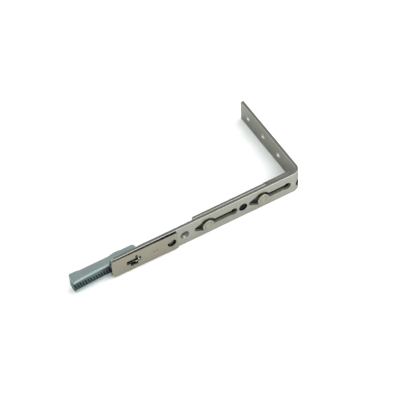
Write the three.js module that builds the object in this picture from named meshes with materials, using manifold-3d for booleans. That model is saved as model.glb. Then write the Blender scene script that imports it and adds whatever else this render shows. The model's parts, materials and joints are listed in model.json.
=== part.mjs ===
// Corner locking bar of a window: an L-shaped faceplate strip that wraps the sash corner, with a drive rod
// that slides behind its long leg, two roller cams that lock, and a toothed channel for the gearbox's rod.
// Units are millimetres, +Z up. The bar lies on its narrow edge, with the long leg along X.
// Every place below is measured from the bar's outer corner: X = 0 is the short leg's outer face, Y = 0 is
// the long leg's front face and Z = 0 is the lower narrow edge. One group then moves the bar to its centre.
import * as THREE from 'three';
import { mergeVertices } from 'three/addons/utils/BufferGeometryUtils.js';
import Module from 'manifold-3d';

const wasm = await Module();
wasm.setup();

// Faceplate strip
const STRIP_HEIGHT = 16;
const STRIP_THICKNESS = 2;
const MID_HEIGHT = STRIP_HEIGHT / 2;
const LONG_LEG = 131.5;
const SHORT_LEG = 69.3;
const BEND_RADIUS = 5.8;
const LONG_END_CORNER = 2.6;
const SHORT_END_CORNER = 0.9;
const BEND_HOLE = { radius: 2.85, height: 5.9 };
const FIT = 0.3; // clearance between pieces that move or were cut separately
const BEARING_FIT = 0.15; // radial clearance between a roller and its pin
const SEAM = 0.1; // clearance between pieces that are welded face to face

// Two cam slots: a narrow slot with a round end, and a wide hole with a tapered side that the cam enters by
const SLOT_PITCH = 37.8;
const SLOT_START = -37.7;
const SLOT_END = -7.9;
const SLOT_HALF_WIDTH = 2.05;
const SLOT_ROUND_END = 2.7;
const SLOT_WIDE_X = -28.2;
const SLOT_WIDE_RADIUS = 4.9;

// Screw holes: small at the back, wide at the front
const SCREW_HOLE = { x: -82.2, radius: 1.8, mouth: 3.0, depth: 1.2 };
const CORNER_HOLE = { first: 24.3, pitch: 18, count: 3, radius: 2.0, mouth: 3.6, depth: 1.1 };

// Cover plate over the forked end of the faceplate
const COVER = { start: -131.7, end: -87.5, low: 0.9, high: 14.9, thickness: 0.75, gap: 0.15, lift: 0.45 };
const COVER_CORNER = { outer: 3, others: 0.8 };
const COVER_HOLE_RADIUS = 2.9;
const COVER_DIMPLE = { places: [-103.7, -101.8], radius: 0.7, depth: 0.3 };
const WINDOW_BAR = { start: -122, end: -112.4, low: 6.6, high: 9.8 };
const WINDOW_POST = { start: -116.2, end: -114.6, low: 4.2, high: 12.2 };
const WINDOW_FOOT = { start: -119.6, end: -114.6, low: 4.2, high: 6.8 };
const FORK_END = -97.8;
const FORK_LOW = 2.3;
const FORK_CORNER = 1;

// Guides behind the faceplate
const GUIDE = { start: -75.4, end: -23.9, back: 5.75, corner: 1.5 };
const END_GUIDE = { start: -23.7, end: -6.2, back: 6.3, wall: 1 };
const GUIDE_SHOULDER = { back: 4.05, low: 1.4 };
const TUNNEL_LOW = 2.9;
const TUNNEL_BACK = 4.65;
const RIVET = { x: -91.7, front: 0.1, head: 2.3, seat: 2.9, shank: 1.6, seatDepth: 1.0, end: 6.0 };
const RIVET_TAIL = { length: 0.6, flare: 0.8, edge: 0.3 };
const WASHER = { radius: 3.3, thickness: 0.6 };
const PLUG = { x: -41.7, radius: 2.9, neck: 1.9, face: 0.7, step: 0.5, dimple: 1.2 };

// Drive rod and what rides on it
const ROD = { end: -24.6, shoulder: -112.5, start: -131, front: 2.35, thickness: 2, low: 3.2, tongueLow: 5.6 };
const ROD_BACK = ROD.front + ROD.thickness;
const ROD_CORNER = 1;
const ROD_SLOT = { radius: 2, play: 0.35 };
const TRAVEL_BACK = 7;
const TRAVEL_AHEAD = 17;
const CAM_X = -28.15;
const CAM_PITCH = 38.3;
const CAM = { front: -1.4, back: -0.4, radius: 3.9, edge: 0.3, recess: 0.5 };
const PIN = { radius: 1.7, tenon: 1.3, head: 2.3, edge: 0.12, dimple: 0.6 };

// Toothed coupling channel
const CHANNEL = { start: -156.4, end: -113, low: 2.7, wall: 1.9, back: 6.3, webFront: 4.65, frontEnd: -115.5 };
const LIP = [[CHANNEL.start, -0.1], [-145, 0.6], [-135, 1.0], [CHANNEL.frontEnd, 1.0]]; // front edge from above
const CHANNEL_END_CORNER = 1.5;
const FLOOR_STEP = 0.15; // the open part's floor lies deeper than the seat of the rod's tongue
// Slits across both flanges leave the teeth standing between them.
const TOOTH = { pitch: 1.75, slit: 0.8, depth: 0.8, first: -154.9, count: 22, front: 1.3, back: 4.1 };
const COUPLING_RIVET = { places: [-127.5, -118], shank: 1.3, head: 2.1, crown: 1.5, height: 0.9, edge: 0.5 };

const CURVE_STEPS = 10;
const ROUND_STEPS = 48;

// ---- solids -------------------------------------------------------------------------------------------------

function solidOf(geometry) {
  geometry.deleteAttribute('normal');
  geometry.deleteAttribute('uv');
  const merged = mergeVertices(geometry, 1e-4);
  return new wasm.Manifold(new wasm.Mesh({
    numProp: 3,
    vertProperties: new Float32Array(merged.attributes.position.array),
    triVerts: new Uint32Array(merged.index.array),
  }));
}

function geometryOf(solid) {
  const mesh = solid.getMesh();
  const geometry = new THREE.BufferGeometry();
  geometry.setAttribute('position', new THREE.BufferAttribute(mesh.vertProperties, 3));
  geometry.setIndex(new THREE.BufferAttribute(mesh.triVerts, 1));
  geometry.computeVertexNormals();
  return geometry;
}

// Extrudes a flat shape; the basis says where the shape's own x, y and its extrusion direction point.
function prism(shape, from, to, xAxis, yAxis, depthAxis) {
  const geometry = new THREE.ExtrudeGeometry(shape, {
    depth: to - from, bevelEnabled: false, curveSegments: CURVE_STEPS,
  });
  geometry.translate(0, 0, from);
  geometry.applyMatrix4(new THREE.Matrix4().makeBasis(xAxis, yAxis, depthAxis));
  return solidOf(geometry);
}

const UNIT = { x: new THREE.Vector3(1, 0, 0), y: new THREE.Vector3(0, 1, 0), z: new THREE.Vector3(0, 0, 1) };

const alongX = (shapeYZ, from, to) => prism(shapeYZ, from, to, UNIT.y, UNIT.z, UNIT.x);
const alongZ = (shapeXY, from, to) => prism(shapeXY, from, to, UNIT.x, UNIT.y, UNIT.z);

// The extrusion runs toward -Y, so the two ends change sign.
const alongY = (shapeXZ, from, to) => prism(shapeXZ, -to, -from, UNIT.x, UNIT.z, UNIT.y.clone().negate());

function polygon(points) {
  return new THREE.Shape(points.map(([a, b]) => new THREE.Vector2(a, b)));
}

function rectangle(a0, a1, b0, b1) {
  return polygon([[a0, b0], [a1, b0], [a1, b1], [a0, b1]]);
}

// A rectangle with rounded corners. The radii run low-start, low-end, high-end, high-start; 0 is sharp.
function roundedRectangle(a0, a1, b0, b1, r0, r1 = r0, r2 = r0, r3 = r0) {
  const shape = new THREE.Shape();
  shape.moveTo(a0 + r0, b0);
  shape.lineTo(a1 - r1, b0);
  if (r1) shape.absarc(a1 - r1, b0 + r1, r1, -Math.PI / 2, 0, false);
  shape.lineTo(a1, b1 - r2);
  if (r2) shape.absarc(a1 - r2, b1 - r2, r2, 0, Math.PI / 2, false);
  shape.lineTo(a0 + r3, b1);
  if (r3) shape.absarc(a0 + r3, b1 - r3, r3, Math.PI / 2, Math.PI, false);
  shape.lineTo(a0, b0 + r0);
  if (r0) shape.absarc(a0 + r0, b0 + r0, r0, Math.PI, 1.5 * Math.PI, false);
  return shape;
}

function slotShape(a0, a1, centre, radius) {
  return roundedRectangle(a0, a1, centre - radius, centre + radius, radius);
}

// A turned piece on an axis along Y: the profile lists [radius, y] from one end of the axis to the other.
function turned(profile, x, z, steps = ROUND_STEPS) {
  const lathe = new THREE.LatheGeometry(profile.map(([r, y]) => new THREE.Vector2(r, y)), steps);
  lathe.translate(x, 0, z);
  return solidOf(lathe);
}

function cylinderY(radius, y0, y1, x, z) {
  return turned([[0, y0], [radius, y0], [radius, y1], [0, y1]], x, z);
}

// ---- faceplate ----------------------------------------------------------------------------------------------

function stripOutline() {
  const inner = BEND_RADIUS - STRIP_THICKNESS;
  const shape = new THREE.Shape();
  shape.moveTo(-LONG_LEG, 0);
  shape.lineTo(-BEND_RADIUS, 0);
  shape.absarc(-BEND_RADIUS, BEND_RADIUS, BEND_RADIUS, -Math.PI / 2, 0, false);
  shape.lineTo(0, SHORT_LEG);
  shape.lineTo(-STRIP_THICKNESS, SHORT_LEG);
  shape.lineTo(-STRIP_THICKNESS, BEND_RADIUS);
  shape.absarc(-BEND_RADIUS, BEND_RADIUS, inner, 0, -Math.PI / 2, true);
  shape.lineTo(-LONG_LEG, STRIP_THICKNESS);
  return shape;
}

function camSlot(offset) {
  const [front, back] = [-1, STRIP_THICKNESS + 1];
  const roundEnd = SLOT_END + offset - SLOT_ROUND_END;
  const narrowEnd = cylinderY(SLOT_HALF_WIDTH, front, back, SLOT_START + SLOT_HALF_WIDTH + offset, MID_HEIGHT);
  const wide = cylinderY(SLOT_WIDE_RADIUS, front, back, SLOT_WIDE_X + offset, MID_HEIGHT);
  return alongY(slotShape(SLOT_START + offset, roundEnd + 1, MID_HEIGHT, SLOT_HALF_WIDTH), front, back)
    .add(cylinderY(SLOT_ROUND_END, front, back, roundEnd, MID_HEIGHT))
    .add(wasm.Manifold.hull([narrowEnd, wide]));
}

// A countersunk hole whose wide mouth opens at y = 0 and whose bore runs to +Y.
function countersink({ radius, mouth, depth }) {
  return [[0, -1], [mouth, -1], [mouth, 0], [radius, depth], [radius, STRIP_THICKNESS + 1],
    [0, STRIP_THICKNESS + 1]];
}

function cornerHole(y) {
  const lathe = new THREE.LatheGeometry(
    countersink(CORNER_HOLE).map(([r, d]) => new THREE.Vector2(r, d)), ROUND_STEPS);
  lathe.rotateZ(Math.PI / 2); // its mouth now opens toward +X
  lathe.translate(0, y, MID_HEIGHT);
  return solidOf(lathe);
}

function bendHole() {
  const { radius, height } = BEND_HOLE;
  const drill = new THREE.CylinderGeometry(radius, radius, 3 * BEND_RADIUS, ROUND_STEPS);
  drill.rotateZ(Math.PI / 4);
  drill.translate(0, 0, height);
  return solidOf(drill);
}

function faceplate() {
  const past = 5;
  let strip = alongZ(stripOutline(), 0, STRIP_HEIGHT);
  strip = strip.intersect(alongY(
    roundedRectangle(-LONG_LEG, past, 0, STRIP_HEIGHT, LONG_END_CORNER, 0, 0, LONG_END_CORNER),
    -past, SHORT_LEG + past));
  strip = strip.intersect(alongX(
    roundedRectangle(-past, SHORT_LEG, 0, STRIP_HEIGHT, 0, SHORT_END_CORNER, SHORT_END_CORNER, 0),
    -LONG_LEG - past, past));
  for (const offset of [0, -SLOT_PITCH]) strip = strip.subtract(camSlot(offset));
  strip = strip.subtract(turned(countersink(SCREW_HOLE), SCREW_HOLE.x, MID_HEIGHT));
  for (let i = 0; i < CORNER_HOLE.count; i += 1) {
    strip = strip.subtract(cornerHole(CORNER_HOLE.first + i * CORNER_HOLE.pitch));
  }
  strip = strip.subtract(bendHole());
  strip = strip.subtract(cylinderY(RIVET.seat, -1, RIVET.seatDepth, RIVET.x, MID_HEIGHT));
  strip = strip.subtract(cylinderY(RIVET.shank + FIT, 0, STRIP_THICKNESS + 1, RIVET.x, MID_HEIGHT));
  strip = strip.subtract(cylinderY(PLUG.radius, -1, STRIP_THICKNESS + 1, PLUG.x, MID_HEIGHT));
  const forkGap = roundedRectangle(
    -LONG_LEG - 1, FORK_END, FORK_LOW, STRIP_HEIGHT - FORK_LOW, 0, FORK_CORNER, FORK_CORNER, 0);
  return strip.subtract(alongY(forkGap, -1, STRIP_THICKNESS + 1));
}

// ---- cover plate --------------------------------------------------------------------------------------------

// The cross window in the cover: a bar along X, a post and a foot beside it.
function crossWindow(front, back) {
  const cuts = [WINDOW_BAR, WINDOW_POST, WINDOW_FOOT].map(
    ({ start, end, low, high }) => alongY(rectangle(start, end, low, high), front, back));
  return cuts[0].add(cuts[1]).add(cuts[2]);
}

function coverPlate() {
  const { start, end, low, high, thickness } = COVER;
  const { outer, others } = COVER_CORNER;
  const front = -thickness;
  let plate = alongY(roundedRectangle(start, end, low, high, outer, others, others, others), front, 0);
  plate = plate.subtract(crossWindow(front - 1, 1));
  plate = plate.subtract(cylinderY(COVER_HOLE_RADIUS, front - 1, 1, RIVET.x, MID_HEIGHT));
  const { places, radius, depth } = COVER_DIMPLE;
  for (const x of places) {
    const profile = [[0, front - 1], [radius, front - 1], [radius, front], [0, front + depth]];
    plate = plate.subtract(turned(profile, x, MID_HEIGHT));
  }
  return plate;
}

// ---- guides behind the faceplate ----------------------------------------------------------------------------

const GUIDE_FRONT = STRIP_THICKNESS + SEAM;

// A hat section: two rails lie against the faceplate and the web stands back, so that the rod runs between.
function hatSection(back) {
  const top = STRIP_HEIGHT;
  const shoulder = GUIDE_SHOULDER;
  const half = [
    [GUIDE_FRONT, TUNNEL_LOW], [GUIDE_FRONT, 0], [shoulder.back, 0], [shoulder.back, shoulder.low],
    [back, TUNNEL_LOW],
  ];
  const mirrored = half.map(([y, z]) => [y, top - z]).reverse();
  return polygon([...half, ...mirrored, [TUNNEL_BACK, top - TUNNEL_LOW], [TUNNEL_BACK, TUNNEL_LOW]]);
}

// The rear corner of the rear guide's open end is rounded off from above.
function rearGuide() {
  const { start, end, back, corner } = GUIDE;
  const cornerFrom = GUIDE_SHOULDER.back - corner;
  const nose = new THREE.Shape();
  nose.moveTo(start - 1, cornerFrom);
  nose.lineTo(start, cornerFrom);
  nose.absarc(start + corner, cornerFrom, corner, Math.PI, Math.PI / 2, true);
  nose.lineTo(start + corner, back + 1);
  nose.lineTo(start - 1, back + 1);
  return alongX(hatSection(back), start, end).subtract(alongZ(nose, -1, STRIP_HEIGHT + 1));
}

// The end guide's closing wall reaches half a millimetre into its web and rails, so that they are one body.
function endGuide() {
  const { start, end, back, wall } = END_GUIDE;
  const bite = 0.5;
  const closing = rectangle(
    GUIDE_FRONT + FIT, TUNNEL_BACK + bite, TUNNEL_LOW - bite, STRIP_HEIGHT - TUNNEL_LOW + bite);
  return alongX(hatSection(back), start, end).add(alongX(closing, end - wall, end));
}

function guideRivet() {
  const { front, head, shank, seatDepth, end } = RIVET;
  const { length, flare, edge } = RIVET_TAIL;
  const under = seatDepth - SEAM;
  return turned([
    [0, front], [head - edge, front], [head, front + edge], [head, under], [shank, under],
    [shank, end - length], [shank + flare, end - length], [shank + flare - edge, end], [0, end],
  ], RIVET.x, MID_HEIGHT);
}

function guideWasher() {
  const inner = RIVET.shank + FIT;
  const front = ROD_BACK + FIT;
  const { radius, thickness } = WASHER;
  const back = front + thickness;
  return turned(
    [[inner, front], [radius, front], [radius, back], [inner, back], [inner, front]], RIVET.x, MID_HEIGHT);
}

function guidePlug() {
  const { x, radius, neck, face, step, dimple } = PLUG;
  const body = cylinderY(radius - FIT, face, ROD.front - SEAM, x, MID_HEIGHT);
  const stem = cylinderY(neck, face + step, TUNNEL_BACK - SEAM, x, MID_HEIGHT);
  const mark = turned([[0, 0], [dimple, 0], [dimple, face], [0, face + step]], x, MID_HEIGHT);
  return body.add(stem).subtract(mark);
}

// ---- drive rod, coupling and cams ---------------------------------------------------------------------------

// A slot in the rod that lets a fixed pin of this radius stand still while the rod runs its full travel.
function rodSlot(firstPin, lastPin, radius) {
  const reach = radius + ROD_SLOT.play;
  const shape = slotShape(firstPin - TRAVEL_AHEAD - reach, lastPin + TRAVEL_BACK + reach, MID_HEIGHT, reach);
  return alongY(shape, ROD.front - 1, ROD_BACK + 1);
}

function camPositions() {
  return [CAM_X - CAM_PITCH, CAM_X];
}

function driveRod() {
  const { start, shoulder, end, front, low, tongueLow } = ROD;
  const wide = roundedRectangle(shoulder, end, low, STRIP_HEIGHT - low, ROD_CORNER);
  const tongue = roundedRectangle(
    start, shoulder + 2 * ROD_CORNER, tongueLow, STRIP_HEIGHT - tongueLow, ROD_CORNER, 0, 0, ROD_CORNER);
  let rod = alongY(wide, front, ROD_BACK).add(alongY(tongue, front, ROD_BACK));
  rod = rod.subtract(rodSlot(RIVET.x, SCREW_HOLE.x, ROD_SLOT.radius));
  rod = rod.subtract(rodSlot(PLUG.x, PLUG.x, PLUG.neck));
  for (const x of camPositions()) {
    rod = rod.subtract(cylinderY(PIN.tenon + FIT, front - 1, ROD_BACK + 1, x, MID_HEIGHT));
  }
  for (const x of COUPLING_RIVET.places) {
    rod = rod.subtract(cylinderY(COUPLING_RIVET.shank + FIT, front - 1, ROD_BACK + 1, x, MID_HEIGHT));
  }
  return rod;
}

// The channel's outline from above: its back swells at both ends, and its lips run out toward the open end.
function channelPlan() {
  const { start, end, back, frontEnd } = CHANNEL;
  const corner = 1;
  const endCorner = 2;
  const swell = 0.5;
  const shape = new THREE.Shape();
  shape.moveTo(...LIP[0]);
  for (const point of LIP.slice(1)) shape.lineTo(...point);
  shape.lineTo(frontEnd, ROD.front);
  shape.lineTo(end, ROD.front);
  shape.lineTo(end, back + swell - endCorner);
  shape.absarc(end - endCorner, back + swell - endCorner, endCorner, 0, Math.PI / 2, false);
  shape.lineTo(-121.5, back + swell);
  shape.quadraticCurveTo(-126, back + 3 * swell, -130, back);
  shape.lineTo(-149.5, back);
  shape.quadraticCurveTo(-151, back + swell, -152.5, back + swell);
  shape.lineTo(start + corner, back + swell);
  shape.absarc(start + corner, back + swell - corner, corner, Math.PI / 2, Math.PI, false);
  return shape;
}

// The open pocket of the channel with its row of tooth slits, which reach into both flanges.
function toothedPocket() {
  const { start, end, low, wall, webFront } = CHANNEL;
  const { pitch, slit, depth, first, count, front, back } = TOOTH;
  const floor = low + wall;
  let pocket = alongY(rectangle(start - 1, end + 1, floor, STRIP_HEIGHT - floor), -2, webFront);
  const open = rectangle(start - 1, ROD.start - FIT, floor, STRIP_HEIGHT - floor);
  pocket = pocket.add(alongY(open, -2, webFront + FLOOR_STEP));
  for (let i = 0; i < count; i += 1) {
    const x = first + i * pitch;
    const cut = rectangle(x, x + slit, floor - depth, STRIP_HEIGHT - floor + depth);
    pocket = pocket.add(alongY(cut, front, back));
  }
  return pocket;
}

function toothedCoupling() {
  const { start, end, low, back, webFront } = CHANNEL;
  const corner = CHANNEL_END_CORNER;
  let channel = alongZ(channelPlan(), low, STRIP_HEIGHT - low);
  channel = channel.intersect(alongY(
    roundedRectangle(start, end + 1, low, STRIP_HEIGHT - low, corner, 0, 0, corner), -2, 2 * back));
  channel = channel.subtract(toothedPocket());
  for (const x of COUPLING_RIVET.places) {
    channel = channel.subtract(cylinderY(COUPLING_RIVET.shank + FIT, webFront - 1, 2 * back, x, MID_HEIGHT));
  }
  return channel;
}

// A domed head in front of the rod; the shank ends flush in the web, where it is riveted over.
function couplingRivet(x) {
  const { shank, head, crown, height, edge } = COUPLING_RIVET;
  const under = ROD.front - SEAM;
  return turned([
    [0, under - height], [crown, under - height], [head, under - edge], [head, under], [shank, under],
    [shank, CHANNEL.back], [0, CHANNEL.back],
  ], x, MID_HEIGHT);
}

// The pin is riveted into the rod by its tenon. Its flat head lies in the roller's recess and holds it.
function camPin(x) {
  const { radius, tenon, head, edge, dimple } = PIN;
  const face = CAM.front + SEAM / 2;
  const under = CAM.front + CAM.recess - SEAM;
  const foot = ROD.front - SEAM;
  return turned([
    [0, face + edge], [dimple, face], [head - edge, face], [head, face + edge], [head, under], [radius, under],
    [radius, foot], [tenon, foot], [tenon, ROD_BACK], [0, ROD_BACK],
  ], x, MID_HEIGHT);
}

// The roller turns freely on the pin and runs just in front of the faceplate.
function camRoller(x) {
  const { front, back, radius, edge } = CAM;
  const bore = PIN.radius + BEARING_FIT;
  const recess = PIN.head + BEARING_FIT;
  const floor = front + CAM.recess;
  return turned([
    [bore, floor], [recess, floor], [recess, front], [radius - edge, front], [radius, front + edge],
    [radius, back - edge], [radius - edge, back], [bore, back], [bore, floor],
  ], x, MID_HEIGHT);
}

// ---- the assembly -------------------------------------------------------------------------------------------

const FINISH = {
  stainless: { color: 0xa9aaa2, roughness: 0.38, metalness: 1 },
  coverSteel: { color: 0xa8a190, roughness: 0.42, metalness: 1 },
  castZinc: { color: 0x74756e, roughness: 0.6, metalness: 1 },
  zincPlate: { color: 0x92a6a4, roughness: 0.35, metalness: 1 },
  rodSteel: { color: 0x77776b, roughness: 0.5, metalness: 1 },
  camSteel: { color: 0xb4ac9c, roughness: 0.3, metalness: 1 },
  blackPlastic: { color: 0x17191c, roughness: 0.5, metalness: 0 },
};

const bar = new THREE.Group();
bar.name = 'corner_bar';

function put(name, solid, finish, parent = bar) {
  const mesh = new THREE.Mesh(geometryOf(solid), new THREE.MeshStandardMaterial({ ...FINISH[finish] }));
  mesh.name = name;
  parent.add(mesh);
  return mesh;
}

put('faceplate', faceplate(), 'stainless');
put('rear_guide', rearGuide(), 'stainless');
put('end_guide', endGuide(), 'castZinc');
put('guide_rivet', guideRivet(), 'camSteel');
put('guide_washer', guideWasher(), 'rodSteel');
put('guide_plug', guidePlug(), 'blackPlastic');

// The cover lies close to the faceplate at its outer end and stands off a little more at its inner end.
const cover = new THREE.Group();
cover.position.set(COVER.start, -COVER.gap, 0);
cover.rotation.z = -Math.asin(COVER.lift / (COVER.end - COVER.start));
const coverMesh = put('cover_plate', coverPlate(), 'coverSteel', cover);
coverMesh.position.x = -COVER.start;
bar.add(cover);

const drive = new THREE.Group();
put('drive_rod', driveRod(), 'rodSteel', drive);
put('toothed_coupling', toothedCoupling(), 'zincPlate', drive);
COUPLING_RIVET.places.forEach((x, i) => put(`coupling_rivet_${i + 1}`, couplingRivet(x), 'rodSteel', drive));
camPositions().forEach((x, i) => {
  const side = ['left', 'right'][i];
  put(`cam_pin_${side}`, camPin(x), 'camSteel', drive);
  put(`cam_roller_${side}`, camRoller(x), 'camSteel', drive);
});
bar.add(drive);

// The bar's own frame: its centre from above, on the edge that it lies on.
bar.position.set(-CHANNEL.start / 2, -(SHORT_LEG + CAM.front) / 2, 0);

const assembly = new THREE.Group();
assembly.add(bar);
export default assembly;
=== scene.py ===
"""Corner locking bar of a window: camera, materials, detailed pieces, floor and light.

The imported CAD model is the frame. Each CAD node is replaced by a refined copy of its own mesh, or
by a finer turned piece. Units are metres, and lengths in millimetres are multiplied by MM.
"""
import json
import math

import bmesh
import bpy
from mathutils import Matrix, Vector


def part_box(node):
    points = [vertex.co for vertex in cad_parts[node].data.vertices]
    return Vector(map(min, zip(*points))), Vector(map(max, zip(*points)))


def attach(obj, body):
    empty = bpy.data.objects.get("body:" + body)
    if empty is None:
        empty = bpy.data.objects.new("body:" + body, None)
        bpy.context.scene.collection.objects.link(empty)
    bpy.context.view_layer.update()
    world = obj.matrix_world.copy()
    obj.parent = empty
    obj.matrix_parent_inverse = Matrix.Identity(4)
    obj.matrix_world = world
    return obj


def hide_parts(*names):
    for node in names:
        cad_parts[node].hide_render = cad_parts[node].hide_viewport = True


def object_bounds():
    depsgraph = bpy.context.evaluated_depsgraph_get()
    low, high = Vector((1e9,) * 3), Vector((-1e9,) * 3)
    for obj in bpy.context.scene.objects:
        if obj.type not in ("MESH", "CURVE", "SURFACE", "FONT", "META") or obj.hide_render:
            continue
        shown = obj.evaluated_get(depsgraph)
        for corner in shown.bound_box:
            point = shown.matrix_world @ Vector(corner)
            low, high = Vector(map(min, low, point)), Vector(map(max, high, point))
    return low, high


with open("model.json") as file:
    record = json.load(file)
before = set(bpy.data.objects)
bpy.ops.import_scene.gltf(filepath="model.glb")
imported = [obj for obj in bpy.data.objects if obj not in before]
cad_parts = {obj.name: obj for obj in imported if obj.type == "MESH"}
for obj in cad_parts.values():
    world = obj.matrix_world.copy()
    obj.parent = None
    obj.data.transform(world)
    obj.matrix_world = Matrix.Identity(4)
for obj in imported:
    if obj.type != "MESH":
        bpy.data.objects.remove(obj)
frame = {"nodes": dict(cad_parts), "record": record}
NODES = frame["nodes"]
CAD_LOW, CAD_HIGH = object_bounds()

MM = 0.001
PLATE_LOW, PLATE_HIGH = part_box("faceplate")
COVER_LOW, COVER_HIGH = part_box("cover_plate")
PLUG_LOW, PLUG_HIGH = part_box("guide_plug")

# ---- camera ------------------------------------------------------------------------------------

CAMERA_AZIMUTH = math.radians(-26.86)
CAMERA_ELEVATION = math.radians(50.12)
CAMERA_ROLL = math.radians(-4.02)
CAMERA_DISTANCE = 0.9796
CAMERA_LENS = 147.1
SENSOR_WIDTH = 36
CLIP_START, CLIP_END = 0.01, 20
OUTER_CORNER = Vector((PLATE_HIGH.x, PLATE_LOW.y, PLATE_LOW.z))
LOOK_AT = OUTER_CORNER + Vector((-60, 0, 8)) * MM
# How far the looked-at point sits from the view's axis.
OFFSET_RIGHT, OFFSET_UP = 0.01019, -0.01179


def make_camera():
    a, e = CAMERA_AZIMUTH, CAMERA_ELEVATION
    back = Vector((math.sin(a) * math.cos(e), -math.cos(a) * math.cos(e), math.sin(e)))
    level = Vector((0, 0, 1)).cross(back).normalized()
    upright = back.cross(level)
    right = level * math.cos(CAMERA_ROLL) + upright * math.sin(CAMERA_ROLL)
    up = back.cross(right)
    data = bpy.data.cameras.new("camera")
    data.lens = CAMERA_LENS
    data.sensor_width = SENSOR_WIDTH
    data.clip_start, data.clip_end = CLIP_START, CLIP_END
    camera = bpy.data.objects.new("camera", data)
    place = LOOK_AT + back * CAMERA_DISTANCE - right * OFFSET_RIGHT - up * OFFSET_UP
    turn = Matrix((right, up, back)).transposed().to_4x4()
    camera.matrix_world = Matrix.Translation(place) @ turn
    bpy.context.scene.collection.objects.link(camera)
    bpy.context.scene.camera = camera


make_camera()

# ---- material building -------------------------------------------------------------------------

NOISE_ROUGHNESS = 0.55
FINE_GRIT = 5200  # features per metre on cut and plated surfaces
GRAIN = (0.02, 1, 1)  # rolled strip's grain runs along X
SCRATCH_GRAIN = (GRAIN[0] * 0.7, 1, 1)
SATIN_ANISOTROPY = 0.2
SATIN_SPECULAR_TINT = (0.55, 0.55, 0.55, 1)
SCRATCH_LIFT = 1.25  # how much lighter a scratch is than the metal beside it
PLASTIC_SPECULAR = 0.05


class Shader:
    """Small helper that adds nodes to one material."""

    def __init__(self, name):
        self.material = bpy.data.materials.new(name)
        self.material.use_nodes = True
        self.tree = self.material.node_tree
        self.principled = self.tree.nodes["Principled BSDF"]
        self.place = self.node("ShaderNodeTexCoord").outputs["Object"]

    def node(self, kind, **inputs):
        made = self.tree.nodes.new(kind)
        for key, value in inputs.items():
            made.inputs[key].default_value = value
        return made

    def link(self, out, into):
        self.tree.links.new(out, into)

    def scaled(self, scale):
        """Object coordinates stretched by this scale along each axis."""
        mapping = self.node("ShaderNodeMapping", Scale=scale)
        self.link(self.place, mapping.inputs["Vector"])
        return mapping.outputs["Vector"]

    def noise(self, scale, detail=4, stretch=(1, 1, 1)):
        """A noise value from 0 to 1; scale is in features per metre."""
        noise = self.node(
            "ShaderNodeTexNoise", Scale=scale, Detail=detail, Roughness=NOISE_ROUGHNESS)
        self.link(self.scaled(stretch), noise.inputs["Vector"])
        return noise.outputs["Fac"]

    def remap(self, value, low, high, to_low, to_high):
        """The value moved from the range low to high into the range to_low to to_high."""
        remap = self.node("ShaderNodeMapRange")
        ends = {"From Min": low, "From Max": high, "To Min": to_low, "To Max": to_high}
        for key, number in ends.items():
            remap.inputs[key].default_value = number
        self.link(value, remap.inputs["Value"])
        return remap.outputs["Result"]

    def math(self, operation, a, b):
        """Arithmetic on two values; each is a number or an output."""
        made = self.node("ShaderNodeMath")
        made.operation = operation
        for socket, value in zip(made.inputs, (a, b)):
            if isinstance(value, (int, float)):
                socket.default_value = value
            else:
                self.link(value, socket)
        return made.outputs[0]

    def mix(self, factor, a, b):
        """Colour mix; the factor is an output, and a and b are RGB colours or outputs."""
        made = self.node("ShaderNodeMix")
        made.data_type = "RGBA"
        wanted = {("Factor", "VALUE"): factor, ("A", "RGBA"): a, ("B", "RGBA"): b}
        for socket in made.inputs:
            value = wanted.get((socket.name, socket.type))
            if isinstance(value, tuple):
                socket.default_value = (*value, 1)
            elif value is not None:
                self.link(value, socket)
        return next(o for o in made.outputs if o.type == "RGBA")

    def bump(self, height, strength, distance):
        """Bump on the whole material from a height from 0 to 1, this distance deep."""
        bump = self.node("ShaderNodeBump", Strength=strength, Distance=distance)
        self.link(height, bump.inputs["Height"])
        self.link(bump.outputs["Normal"], self.principled.inputs["Normal"])


def satin_metal(name, light, dark, rough=(0.17, 0.27), mottle=90):
    """Rolled strip: fine grain along its length, faint cloudy tone and a few hairline scratches."""
    s = Shader(name)
    p = s.principled
    p.inputs["Metallic"].default_value = 1
    p.inputs["Anisotropic"].default_value = SATIN_ANISOTROPY
    p.inputs["Specular Tint"].default_value = SATIN_SPECULAR_TINT
    brushed = s.noise(9000, detail=3, stretch=GRAIN)
    cloud = s.noise(mottle, detail=3)
    scratch = s.remap(s.noise(2600, detail=1, stretch=SCRATCH_GRAIN), 0.66, 0.7, 0, 1)
    tone = s.math("ADD", s.math("MULTIPLY", brushed, 0.45), s.math("MULTIPLY", cloud, 0.55))
    colour = s.mix(s.remap(tone, 0.3, 0.7, 0, 1), dark, light)
    bright = tuple(c * SCRATCH_LIFT for c in light)
    colour = s.mix(s.math("MULTIPLY", scratch, 0.25), colour, bright)
    s.link(colour, p.inputs["Base Color"])
    s.link(s.remap(tone, 0.3, 0.7, rough[1], rough[0]), p.inputs["Roughness"])
    s.bump(s.math("SUBTRACT", brushed, s.math("MULTIPLY", scratch, 0.5)), 0.12, 0.06 * MM)
    return s.material


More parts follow.
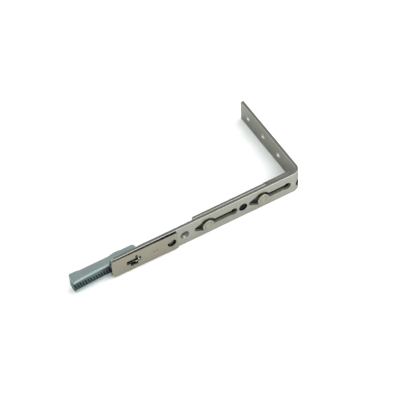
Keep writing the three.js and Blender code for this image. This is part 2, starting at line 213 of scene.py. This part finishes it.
def zinc_plate(name, lift=1.0, violet=0.75):
    """Passivated zinc plate: blue-green with a violet and straw interference haze, slightly sandy.

    lift brightens or darkens it all, painting light on a face above 1 and shade below 1,
    and violet is how strong the haze is.
    """
    s = Shader(name)
    p = s.principled
    p.inputs["Metallic"].default_value = 1

    def tone(*colour):
        return tuple(c * lift for c in colour)

    patches = s.remap(s.noise(130, detail=2), 0.4, 0.62, 0, 1)
    tint = s.mix(patches, tone(0.236, 0.288, 0.284), tone(0.262, 0.31, 0.277))
    clouds = s.noise(210, detail=1, stretch=(0.5, 1, 1))
    haze = s.remap(clouds, 1.3 - violet, 1.47 - violet, 0, violet)
    tint = s.mix(haze, tint, tone(0.246, 0.243, 0.3))
    speck = s.noise(FINE_GRIT, detail=2)
    tint = s.mix(s.remap(speck, 0.35, 0.75, 0.3, 0), tint, tone(0.124, 0.156, 0.18))
    s.link(tint, p.inputs["Base Color"])
    s.link(s.remap(speck, 0.3, 0.7, 0.48, 0.34), p.inputs["Roughness"])
    s.bump(speck, 0.1, 0.05 * MM)
    return s.material


def dull_metal(name, light, dark, rough=(0.45, 0.65), grit=2600, metallic=1):
    """Cast, oiled or freshly cut metal surface: fine grit, darker hollows."""
    s = Shader(name)
    p = s.principled
    p.inputs["Metallic"].default_value = metallic
    fine = s.noise(grit, detail=4)
    broad = s.noise(160, detail=3)
    tone = s.math("ADD", s.math("MULTIPLY", fine, 0.5), s.math("MULTIPLY", broad, 0.5))
    s.link(s.mix(s.remap(tone, 0.35, 0.65, 0, 1), dark, light), p.inputs["Base Color"])
    s.link(s.remap(tone, 0.35, 0.65, rough[1], rough[0]), p.inputs["Roughness"])
    s.bump(fine, 0.2, 0.08 * MM)
    return s.material


def edge_with_painted_shade(name, start, end, light, dark):
    """Sheared sheet edge with painted shade: light at its start along X, darkening toward its end.
    """
    s = Shader(name)
    p = s.principled
    p.inputs["Metallic"].default_value = 1
    apart = s.node("ShaderNodeSeparateXYZ")
    s.link(s.place, apart.inputs[0])
    fine = s.noise(FINE_GRIT, detail=3)
    along = s.remap(apart.outputs["X"], start, end, 0, 1)
    blend = s.math("ADD", along, s.math("MULTIPLY", s.math("SUBTRACT", fine, 0.5), 0.3))
    s.link(s.mix(blend, light, dark), p.inputs["Base Color"])
    s.link(s.remap(fine, 0.35, 0.65, 0.62, 0.45), p.inputs["Roughness"])
    s.bump(fine, 0.2, 0.08 * MM)
    return s.material


def turned_metal(name, light, dark):
    """Turned steel with a faint warm tone."""
    s = Shader(name)
    p = s.principled
    p.inputs["Metallic"].default_value = 1
    fine = s.noise(3600, detail=3, stretch=(1, 4, 1))
    s.link(s.mix(s.remap(fine, 0.35, 0.65, 0, 1), dark, light), p.inputs["Base Color"])
    s.link(s.remap(fine, 0.3, 0.7, 0.42, 0.3), p.inputs["Roughness"])
    s.bump(fine, 0.1, 0.05 * MM)
    return s.material


def moulded_plastic(name, light, dark):
    """Black moulded plastic with a fine, even sheen."""
    s = Shader(name)
    p = s.principled
    p.inputs["Specular IOR Level"].default_value = PLASTIC_SPECULAR
    fine = s.noise(3000, detail=3)
    s.link(s.mix(s.remap(fine, 0.4, 0.6, 0, 1), dark, light), p.inputs["Base Color"])
    s.link(s.remap(fine, 0.3, 0.7, 0.55, 0.38), p.inputs["Roughness"])
    s.bump(fine, 0.15, 0.06 * MM)
    return s.material


# ---- materials ---------------------------------------------------------------------------------

STAINLESS = satin_metal("stainless", (0.343, 0.342, 0.305), (0.3, 0.298, 0.264))
COVER_STEEL = satin_metal(
    "cover_steel", (0.308, 0.288, 0.235), (0.264, 0.246, 0.2), rough=(0.24, 0.36), mottle=60)
CAST_ZINC = dull_metal("cast_zinc", (0.18, 0.18, 0.166), (0.118, 0.118, 0.108))
# Painted shade: the drive rod is near black, standing for the shade in the slots and openings
# through which it is seen.
SHADED_ROD_STEEL = dull_metal(
    "rod_steel", (0.13, 0.125, 0.105), (0.07, 0.068, 0.058), rough=(0.4, 0.58))
ZINC_PLATE = zinc_plate("zinc_plate")
# Painted light: lighter than the rod's steel, so that the rod's tongue behind the cover's window
# and the coupling rivets in the cover's hole look lit in their shade.
LIT_RIVET_STEEL = dull_metal(
    "rivet_steel_painted_light", (0.5, 0.465, 0.35), (0.38, 0.35, 0.265), rough=(0.5, 0.7))
CAM_STEEL = turned_metal("cam_steel", (0.318, 0.306, 0.256), (0.276, 0.264, 0.218))
BLACK_PLASTIC = moulded_plastic(
    "black_plastic", (0.008, 0.0095, 0.009), (0.004, 0.0045, 0.0045))

# Colours of single faces: walls of holes, cut edges, and the channel's rims and hollows.
# Most of them paint light and shade on those faces, as noted at each one.
PUNCHED_EDGE = dull_metal(
    "punched_edge", (0.25, 0.24, 0.2), (0.14, 0.135, 0.11),
    rough=(0.5, 0.7), grit=FINE_GRIT, metallic=0.5)
# Painted highlight: the straight walls of the short leg's holes, lighter than the strip, standing
# for the light that falls into them.
LIT_DRILLED_EDGE = dull_metal(
    "drilled_edge_painted_light", (0.47, 0.46, 0.41), (0.31, 0.3, 0.26), rough=(0.42, 0.6), grit=FINE_GRIT)
# Painted shade: the slanted walls of holes and slots, countersinks among them, darker than the
# strip, standing for the shade in them.
SLANTED_WALL_IN_SHADE = dull_metal(
    "slanted_wall_painted_shade", (0.17, 0.167, 0.145), (0.11, 0.108, 0.093), rough=(0.2, 0.32), grit=FINE_GRIT)
DIMPLE = dull_metal("dimple", (0.22, 0.2, 0.16), (0.16, 0.145, 0.115), grit=FINE_GRIT)
# Painted shade: the narrow top and bottom edges of the strip and its guide, darker than their
# sides, standing for the dimmer surroundings that they reflect.
SHADED_CUT_EDGE = satin_metal(
    "cut_edge_painted_shade", (0.168, 0.168, 0.149), (0.124, 0.124, 0.109), rough=(0.24, 0.36))
# Painted shade: near black walls of the faceplate's holes under the cover, in its shade.
SHEARED_EDGE_IN_SHADE = dull_metal(
    "sheared_edge_painted_shade", (0.08, 0.076, 0.064), (0.045, 0.042, 0.036), grit=FINE_GRIT)
# Painted shade: the cover's edges and hole walls are light at its left end and near black toward
# its right end, where the gap under the cover is in shade.
SHADED_COVER_EDGE = edge_with_painted_shade(
    "cover_edge_painted_shade", COVER_LOW.x, COVER_HIGH.x, (0.24, 0.23, 0.19), (0.02, 0.019, 0.016))
# Painted light and shade on the channel: lit copies of its zinc on the front rims, lightest, and on
# the groove's web and the rims under the cover; a shaded copy in the slits between the teeth. The
# groove's stronger violet haze is the zinc's own tint.
LIT_ZINC_RIM = zinc_plate("zinc_rim_painted_light", lift=1.55)
LIT_ZINC_GROOVE = zinc_plate("zinc_groove_painted_light", lift=1.3, violet=0.85)
SHADED_ZINC_SLIT = zinc_plate("zinc_slit_painted_shade", lift=0.5)

MATERIAL_OF_SLOT = {
    "stainless": STAINLESS,
    "cover_steel": COVER_STEEL,
    "cast_zinc": CAST_ZINC,
    "zinc_plate": ZINC_PLATE,
    "rod_steel": SHADED_ROD_STEEL,
    "cam_steel": CAM_STEEL,
    "black_plastic": BLACK_PLASTIC,
}
FACE_MATERIALS = {
    "faceplate": (
        PUNCHED_EDGE, SHADED_CUT_EDGE, SLANTED_WALL_IN_SHADE, LIT_DRILLED_EDGE, BLACK_PLASTIC, SHEARED_EDGE_IN_SHADE),
    "rear_guide": (SHADED_CUT_EDGE,),
    "drive_rod": (LIT_RIVET_STEEL,),
    "cover_plate": (SHADED_COVER_EDGE, DIMPLE),
    "toothed_coupling": (LIT_ZINC_RIM, LIT_ZINC_GROOVE, SHADED_ZINC_SLIT),
}
NOT_ON_ROUNDINGS = (SHADED_CUT_EDGE, DIMPLE, LIT_ZINC_GROOVE)  # roundings beside these keep the piece's own

# ---- which face takes which material -----------------------------------------------------------

SAME_PLANE = 0.01 * MM
# How far a face's normal points along the sheet's thickness: more than ON_SHEET on the sheet's
# flat sides, less than STRAIGHT_WALL in a straight hole, and between them on a slanted face.
ON_SHEET = 0.96
STRAIGHT_WALL = 0.2
ON_NARROW_EDGE = 0.999
STRIP_THICKNESS = 2 * MM
PUNCH_MARGIN = 2.3 * MM  # how far from the strip's narrow edges the punched holes stay
BEND_REACH = 7 * MM  # no slot or hole comes this close to the short leg
LEG_END = 1 * MM  # faces nearer than this to the short leg's end are its sheared end
PLUG_MARGIN = 1 * MM  # the hole's wall this near the plug is painted black, as shade

TONGUE_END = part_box("toothed_coupling")[1].x  # up to here the rod's tongue is in the channel
RIM_FACING = -0.9
RIM_DEPTH = 1.4 * MM  # how far behind the channel's front the flanges' front edges reach
FLANGE = 1.9 * MM
FLANGE_OUTSIDE = 0.9 * MM  # faces nearer than this to the channel's top or bottom are outside
CHANNEL_DEPTH = 5.5 * MM
CHANNEL_MARGIN = 0.1 * MM


def in_strip(face, low, high):
    """True inside the strip's holes and slots: away from its faces and its narrow edges."""
    centre = face.calc_center_median()
    inside_height = low.z + PUNCH_MARGIN <= centre.z <= high.z - PUNCH_MARGIN
    in_long_leg = abs(face.normal.y) < ON_SHEET and centre.y < low.y + STRIP_THICKNESS
    in_short_leg = abs(face.normal.x) < ON_SHEET and centre.x > high.x - STRIP_THICKNESS
    at_bend = centre.x > high.x - BEND_REACH and centre.y < low.y + BEND_REACH
    at_end = centre.y > high.y - LEG_END
    return inside_height and (in_long_leg or in_short_leg) and not at_bend and not at_end


def is_cut(face, low, high):
    """True on the narrow top and bottom edges, where the strip was cut from the sheet."""
    height = face.calc_center_median().z
    in_edge = min(height - low.z, high.z - height) < SAME_PLANE
    return in_edge and abs(face.normal.z) > ON_NARROW_EDGE


def cover_material(face):
    if abs(face.normal.y) > ON_SHEET:
        return None
    # Straight walls take the painted shade that darkens toward the cover's right end.
    return SHADED_COVER_EDGE if abs(face.normal.y) < STRAIGHT_WALL else DIMPLE


def hole_material(face, high):
    """Material of a face inside one of the faceplate's holes or slots."""
    centre = face.calc_center_median()
    # On the short leg: painted highlight on straight hole walls, painted shade on slanted ones.
    if centre.x > high.x - STRIP_THICKNESS:
        return LIT_DRILLED_EDGE if abs(face.normal.x) < STRAIGHT_WALL else SLANTED_WALL_IN_SHADE
    # Painted shade: the wall of the plug's hole is as black as the plug.
    if PLUG_LOW.x - PLUG_MARGIN < centre.x < PLUG_HIGH.x + PLUG_MARGIN:
        return BLACK_PLASTIC
    # Painted shade: the holes under the cover are near black.
    if centre.x < COVER_HIGH.x:
        return SHEARED_EDGE_IN_SHADE
    # Painted shade on slanted walls; straight ones take the punched edge.
    return PUNCHED_EDGE if abs(face.normal.y) < STRAIGHT_WALL else SLANTED_WALL_IN_SHADE


def coupling_material(face, low, high):
    centre = face.calc_center_median()
    from_side = min(centre.z - low.z, high.z - centre.z)
    # Painted light on the front rims, less where the cover shades them, and on the groove's web;
    # painted shade in the slits beside the flanges.
    if face.normal.y < RIM_FACING and centre.y < low.y + RIM_DEPTH:
        return LIT_ZINC_RIM if centre.x < COVER_LOW.x else LIT_ZINC_GROOVE
    inside = from_side > FLANGE_OUTSIDE and centre.y < low.y + CHANNEL_DEPTH
    if not inside or centre.x < low.x + CHANNEL_MARGIN:
        return None
    return SHADED_ZINC_SLIT if from_side < FLANGE - CHANNEL_MARGIN else LIT_ZINC_GROOVE


def face_material(name, face, low, high):
    """The face's own material, or None where it takes the one that the piece's slot names."""
    if name == "cover_plate":
        return cover_material(face)
    if name == "drive_rod":
        # The rod's tongue takes the painted light.
        return LIT_RIVET_STEEL if face.calc_center_median().x < TONGUE_END else None
    if name == "toothed_coupling":
        return coupling_material(face, low, high)
    # The narrow edges take the painted shade.
    if name in ("faceplate", "rear_guide") and is_cut(face, low, high):
        return SHADED_CUT_EDGE
    if name == "faceplate" and in_strip(face, low, high):
        return hole_material(face, high)
    return None


# ---- refined copies of CAD nodes ---------------------------------------------------------------

# Millimetres that each piece's top and bottom outlines are rounded by.
OUTLINE_WIDTH = {
    "faceplate": 0.34,
    "cover_plate": 0.12,
    "rear_guide": 0.34,
    "end_guide": 0.3,
    "drive_rod": 0.15,
    "toothed_coupling": 0.3,
    "guide_plug": 0.15,
}
FEATURE_WIDTH = 0.1  # the same for holes, slots and teeth
EDGE_STEPS = 3
EDGE_ANGLE = math.radians(28)
SMOOTH_WITHIN = math.cos(math.radians(35))
FLAT_WITHIN = math.radians(0.6)
MERGE_WITHIN = 0.002 * MM
AXIS_ALIGNED = 0.99999


def is_flat(face):
    """True for a face square to an axis."""
    return max(abs(n) for n in face.normal) > AXIS_ALIGNED


def corner_normal(face, vertex, rounding):
    """Shading normal of a face's corner.

    Flat faces stay flat, and a rounding starts and ends on its neighbours.
    """
    if is_flat(face) and face not in rounding:
        return face.normal.copy()
    near = [f for f in vertex.link_faces if f.normal.dot(face.normal) > SMOOTH_WITHIN]
    solid = [f for f in near if f not in rounding]
    flat = [f for f in solid if is_flat(f)]
    total = Vector()
    for other in flat or solid or near:
        total += other.normal * other.calc_area()
    return total.normalized() if total.length > 0 else face.normal.copy()


def is_sharp(edge):
    return len(edge.link_faces) == 2 and edge.calc_face_angle() > EDGE_ANGLE


def on_outline(edge, low, high):
    """True for an edge that lies in the top or bottom plane of its piece."""
    return any(
        all(abs(v.co.z - level) < SAME_PLANE for v in edge.verts) for level in (low.z, high.z))


def rounded(mesh, low, high, width, outline, rounding):
    """Rounds the sharp edges on the outline, or all the others, and adds to the rounding faces.

    Only the others are clamped: clamping the outline would thin it to its smallest neighbour.
    """
    sharp = [
        e for e in mesh.edges if is_sharp(e) and rounding.isdisjoint(e.link_faces)
        and on_outline(e, low, high) == outline]
    made = bmesh.ops.bevel(
        mesh, geom=sharp, offset=width * MM, offset_type="OFFSET", segments=EDGE_STEPS,
        profile=0.5, affect="EDGES", clamp_overlap=not outline)
    mesh.normal_update()
    return {f for f in rounding if f.is_valid} | set(made["faces"])


def linked(name, data):
    """A new object in the scene with this mesh, shaded smooth."""
    data.polygons.foreach_set("use_smooth", [True] * len(data.polygons))
    piece = bpy.data.objects.new(name, data)
    bpy.context.scene.collection.objects.link(piece)
    return piece


def refined(name, width):
    """A copy of a CAD node as a clean shell: flat triangles joined, edges rounded, smooth."""
    mesh = bmesh.new()
    mesh.from_mesh(NODES[name].data)
    bmesh.ops.remove_doubles(mesh, verts=mesh.verts, dist=MERGE_WITHIN)
    bmesh.ops.dissolve_limit(
        mesh, angle_limit=FLAT_WITHIN, verts=mesh.verts, edges=mesh.edges,
        use_dissolve_boundaries=False)
    low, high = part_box(name)
    if name == "drive_rod":
        bmesh.ops.bisect_plane(
            mesh, geom=[*mesh.verts, *mesh.edges, *mesh.faces],
            plane_co=(TONGUE_END, 0, 0), plane_no=(1, 0, 0))
    materials = (None, *FACE_MATERIALS.get(name, ()))
    for face in mesh.faces:
        face.material_index = materials.index(face_material(name, face, low, high))
    rounding = rounded(mesh, low, high, width, outline=True, rounding=set())
    rounding = rounded(mesh, low, high, FEATURE_WIDTH, outline=False, rounding=rounding)
    for face in rounding:
        if materials[face.material_index] in NOT_ON_ROUNDINGS:
            face.material_index = 0
    normals = [corner_normal(f, c.vert, rounding) for f in mesh.faces for c in f.loops]
    data = bpy.data.meshes.new(name + "_shell")
    mesh.to_mesh(data)
    mesh.free()
    piece = linked(name + "_shell", data)
    data.normals_split_custom_set(normals)
    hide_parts(name)
    return piece


# ---- turned pieces -----------------------------------------------------------------------------

TURN_STEPS = 96
CORNER_STEPS = 4
CORNER_REACH = 0.45  # the most of a profile's side that one rounded corner takes
ON_AXIS = 1e-6
SOFTNESS = 0.12  # how far from a profile's corner its rounding starts
ROLLER_SOFTNESS = 0.3

# Profiles in millimetres: [radius, depth from the piece's front].
ROLLER = [[1.85, 0.5], [2.45, 0.5], [2.45, 0], [3.9, 0], [3.9, 1.0], [1.85, 1.0]]
CAM_PIN = [
    [0, 0.14], [0.6, 0.04], [2.3, 0.0], [2.3, 0.35], [1.7, 0.35],
    [1.7, 3.6], [1.3, 3.6], [1.3, 5.7], [0, 5.7]]
COUPLING_RIVET = [[0, 0], [1.5, 0], [2.1, 0.4], [2.1, 0.9], [1.3, 0.9], [1.3, 4.95], [0, 4.95]]
GUIDE_RIVET = [
    [0, 0], [2.0, 0], [2.3, 0.3], [2.3, 0.8], [1.6, 0.8],
    [1.6, 5.3], [2.4, 5.3], [2.1, 5.9], [0, 5.9]]
WASHER = [[1.9, 0], [3.3, 0], [3.3, 0.6], [1.9, 0.6]]


def softened(profile, radius, closed):
    """The same profile with each corner rounded off by a short curve, all in millimetres."""
    points = [Vector(p) for p in profile]
    made = []
    for i, corner in enumerate(points):
        if not closed and i in (0, len(points) - 1):
            made.append(corner)
            continue
        before, after = points[i - 1] - corner, points[(i + 1) % len(points)] - corner
        reach = min(radius, before.length * CORNER_REACH, after.length * CORNER_REACH)
        start, end = corner + before.normalized() * reach, corner + after.normalized() * reach
        for step in range(CORNER_STEPS + 1):
            t = step / CORNER_STEPS
            made.append(start * (1 - t) ** 2 + corner * (2 * t * (1 - t)) + end * t ** 2)
    return made


def turned_piece(node, profile, closed=False, soft=SOFTNESS):
    """A fine turned piece in place of a CAD node, about its Y axis from the front of its box."""
    low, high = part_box(node)
    front = Vector(((low.x + high.x) / 2, low.y, (low.z + high.z) / 2))
    angles = [2 * math.pi * i / TURN_STEPS for i in range(TURN_STEPS)]
    mesh = bmesh.new()
    rings = []
    for radius, depth in softened(profile, soft, closed):
        if radius < ON_AXIS:
            rings.append([mesh.verts.new(front + Vector((0, depth, 0)) * MM)] * TURN_STEPS)
            continue
        circle = [Vector((radius * math.cos(a), depth, radius * math.sin(a))) for a in angles]
        rings.append([mesh.verts.new(front + point * MM) for point in circle])
    following = rings[1:] + rings[:1] if closed else rings[1:]
    for one, two in zip(rings, following):
        for i in range(TURN_STEPS):
            j = (i + 1) % TURN_STEPS
            corners = list(dict.fromkeys((one[i], one[j], two[j], two[i])))
            if len(corners) > 2:
                mesh.faces.new(corners)
    bmesh.ops.recalc_face_normals(mesh, faces=mesh.faces)
    data = bpy.data.meshes.new(node + "_turned")
    mesh.to_mesh(data)
    mesh.free()
    piece = linked(node + "_turned", data)
    piece.modifiers.new("flat faces", "WEIGHTED_NORMAL").keep_sharp = True
    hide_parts(node)
    return piece


# ---- making the pieces -------------------------------------------------------------------------

SLOT_OF_NODE = {s["node"]: s["material_slot"] for s in frame["record"]["subparts"]}
BODIES = frame["record"]["behaviour"]["bodies"]
BODY_OF_NODE = {node: body for body, members in BODIES.items() for node in members}


def dress(piece, node):
    """Gives the piece its materials, its slot and its body."""
    slot = SLOT_OF_NODE[node]
    # The coupling rivets take the painted light.
    own = LIT_RIVET_STEEL if node.startswith("coupling_rivet") else MATERIAL_OF_SLOT[slot]
    for material in (own, *FACE_MATERIALS.get(node, ())):
        piece.data.materials.append(material)
    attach(piece, BODY_OF_NODE[node])


for node, width in OUTLINE_WIDTH.items():
    dress(refined(node, width), node)
for side in ("left", "right"):
    roller, pin = "cam_roller_" + side, "cam_pin_" + side
    dress(turned_piece(roller, ROLLER, closed=True, soft=ROLLER_SOFTNESS), roller)
    dress(turned_piece(pin, CAM_PIN), pin)
for node in ("coupling_rivet_1", "coupling_rivet_2"):
    dress(turned_piece(node, COUPLING_RIVET), node)
dress(turned_piece("guide_rivet", GUIDE_RIVET), "guide_rivet")
dress(turned_piece("guide_washer", WASHER, closed=True), "guide_washer")

# ---- floor and light ---------------------------------------------------------------------------

FLOOR_REACH = 3
FLOOR_ROUGHNESS = 0.9
FLOOR_LIGHT, FLOOR_DARK = (0.88, 0.885, 0.885), (0.86, 0.87, 0.865)
SKY_COLOUR = (0.965, 1, 0.985, 1)
SKY_STRENGTH = 1.06


def make_floor():
    mesh = bpy.data.meshes.new("floor")
    around = [(-1, -1, 0), (1, -1, 0), (1, 1, 0), (-1, 1, 0)]
    mesh.from_pydata([Vector(c) * FLOOR_REACH for c in around], [], [(0, 1, 2, 3)])
    floor = bpy.data.objects.new("floor", mesh)
    s = Shader("floor")
    s.principled.inputs["Roughness"].default_value = FLOOR_ROUGHNESS
    grain = s.noise(40, detail=2)
    tone = s.mix(s.remap(grain, 0.3, 0.7, 0, 1), FLOOR_DARK, FLOOR_LIGHT)
    s.link(tone, s.principled.inputs["Base Color"])
    mesh.materials.append(s.material)
    bpy.context.scene.collection.objects.link(floor)


def soft_light(name, direction, distance, size, power):
    """A rectangular area light in this direction from the bar's middle, facing it."""
    data = bpy.data.lights.new(name, "AREA")
    data.shape = "RECTANGLE"
    data.size, data.size_y = size
    data.energy = power
    light = bpy.data.objects.new(name, data)
    toward = Vector(direction).normalized()
    middle = (CAD_LOW + CAD_HIGH) / 2
    light.location = middle + toward * distance
    light.rotation_mode = "QUATERNION"
    light.rotation_quaternion = toward.to_track_quat("Z", "Y")
    bpy.context.scene.collection.objects.link(light)


def make_light():
    world = bpy.data.worlds.new("studio")
    world.use_nodes = True
    sky = world.node_tree.nodes["Background"]
    sky.inputs["Color"].default_value = SKY_COLOUR
    sky.inputs["Strength"].default_value = SKY_STRENGTH
    bpy.context.scene.world = world
    soft_light("key", (0.75, -0.25, 0.9), distance=1.1, size=(1.1, 1.1), power=8.6)
    soft_light("front", (0.25, -0.8, 0.6), distance=1.0, size=(1.0, 0.5), power=4.5)


make_floor()
make_light()
bpy.context.scene.view_settings.view_transform = "Standard"
